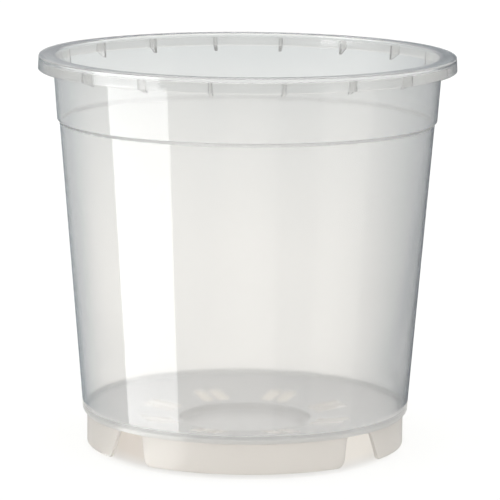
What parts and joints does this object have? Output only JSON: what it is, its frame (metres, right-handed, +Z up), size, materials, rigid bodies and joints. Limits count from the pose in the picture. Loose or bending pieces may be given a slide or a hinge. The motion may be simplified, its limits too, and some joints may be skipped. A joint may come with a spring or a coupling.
{
  "type": "orchid pot",
  "caption": "Clear plastic orchid pot with a skirted and ribbed rim, a stacking step, a tapered wall, a dished floor with drain openings, and feet parted by notches.",
  "frame": {"origin": "centre of the circle on the ground that the feet stand on", "axes": "+Z up along the pot's axis, -Y towards the front, +X to the right of someone who looks at the front"},
  "size_m": [0.1304, 0.1304, 0.1225],
  "materials": {
    "clear_plastic": "satin"
  },
  "bodies": {
    "root": {"rim": "clear_plastic", "rim_rib_01": "clear_plastic", "rim_rib_02": "clear_plastic", "rim_rib_03": "clear_plastic", "rim_rib_04": "clear_plastic", "rim_rib_05": "clear_plastic", "rim_rib_06": "clear_plastic", "rim_rib_07": "clear_plastic", "rim_rib_08": "clear_plastic", "rim_rib_09": "clear_plastic", "rim_rib_10": "clear_plastic", "rim_rib_11": "clear_plastic", "rim_rib_12": "clear_plastic", "rim_rib_13": "clear_plastic", "rim_rib_14": "clear_plastic", "rim_rib_15": "clear_plastic", "rim_rib_16": "clear_plastic", "rim_rib_17": "clear_plastic", "rim_rib_18": "clear_plastic", "collar_wall": "clear_plastic", "stacking_step": "clear_plastic", "body_wall": "clear_plastic", "floor_pan": "clear_plastic", "floor_well": "clear_plastic", "foot_front": "clear_plastic", "foot_right": "clear_plastic", "foot_back": "clear_plastic", "foot_left": "clear_plastic"}
  },
  "joints": []
}
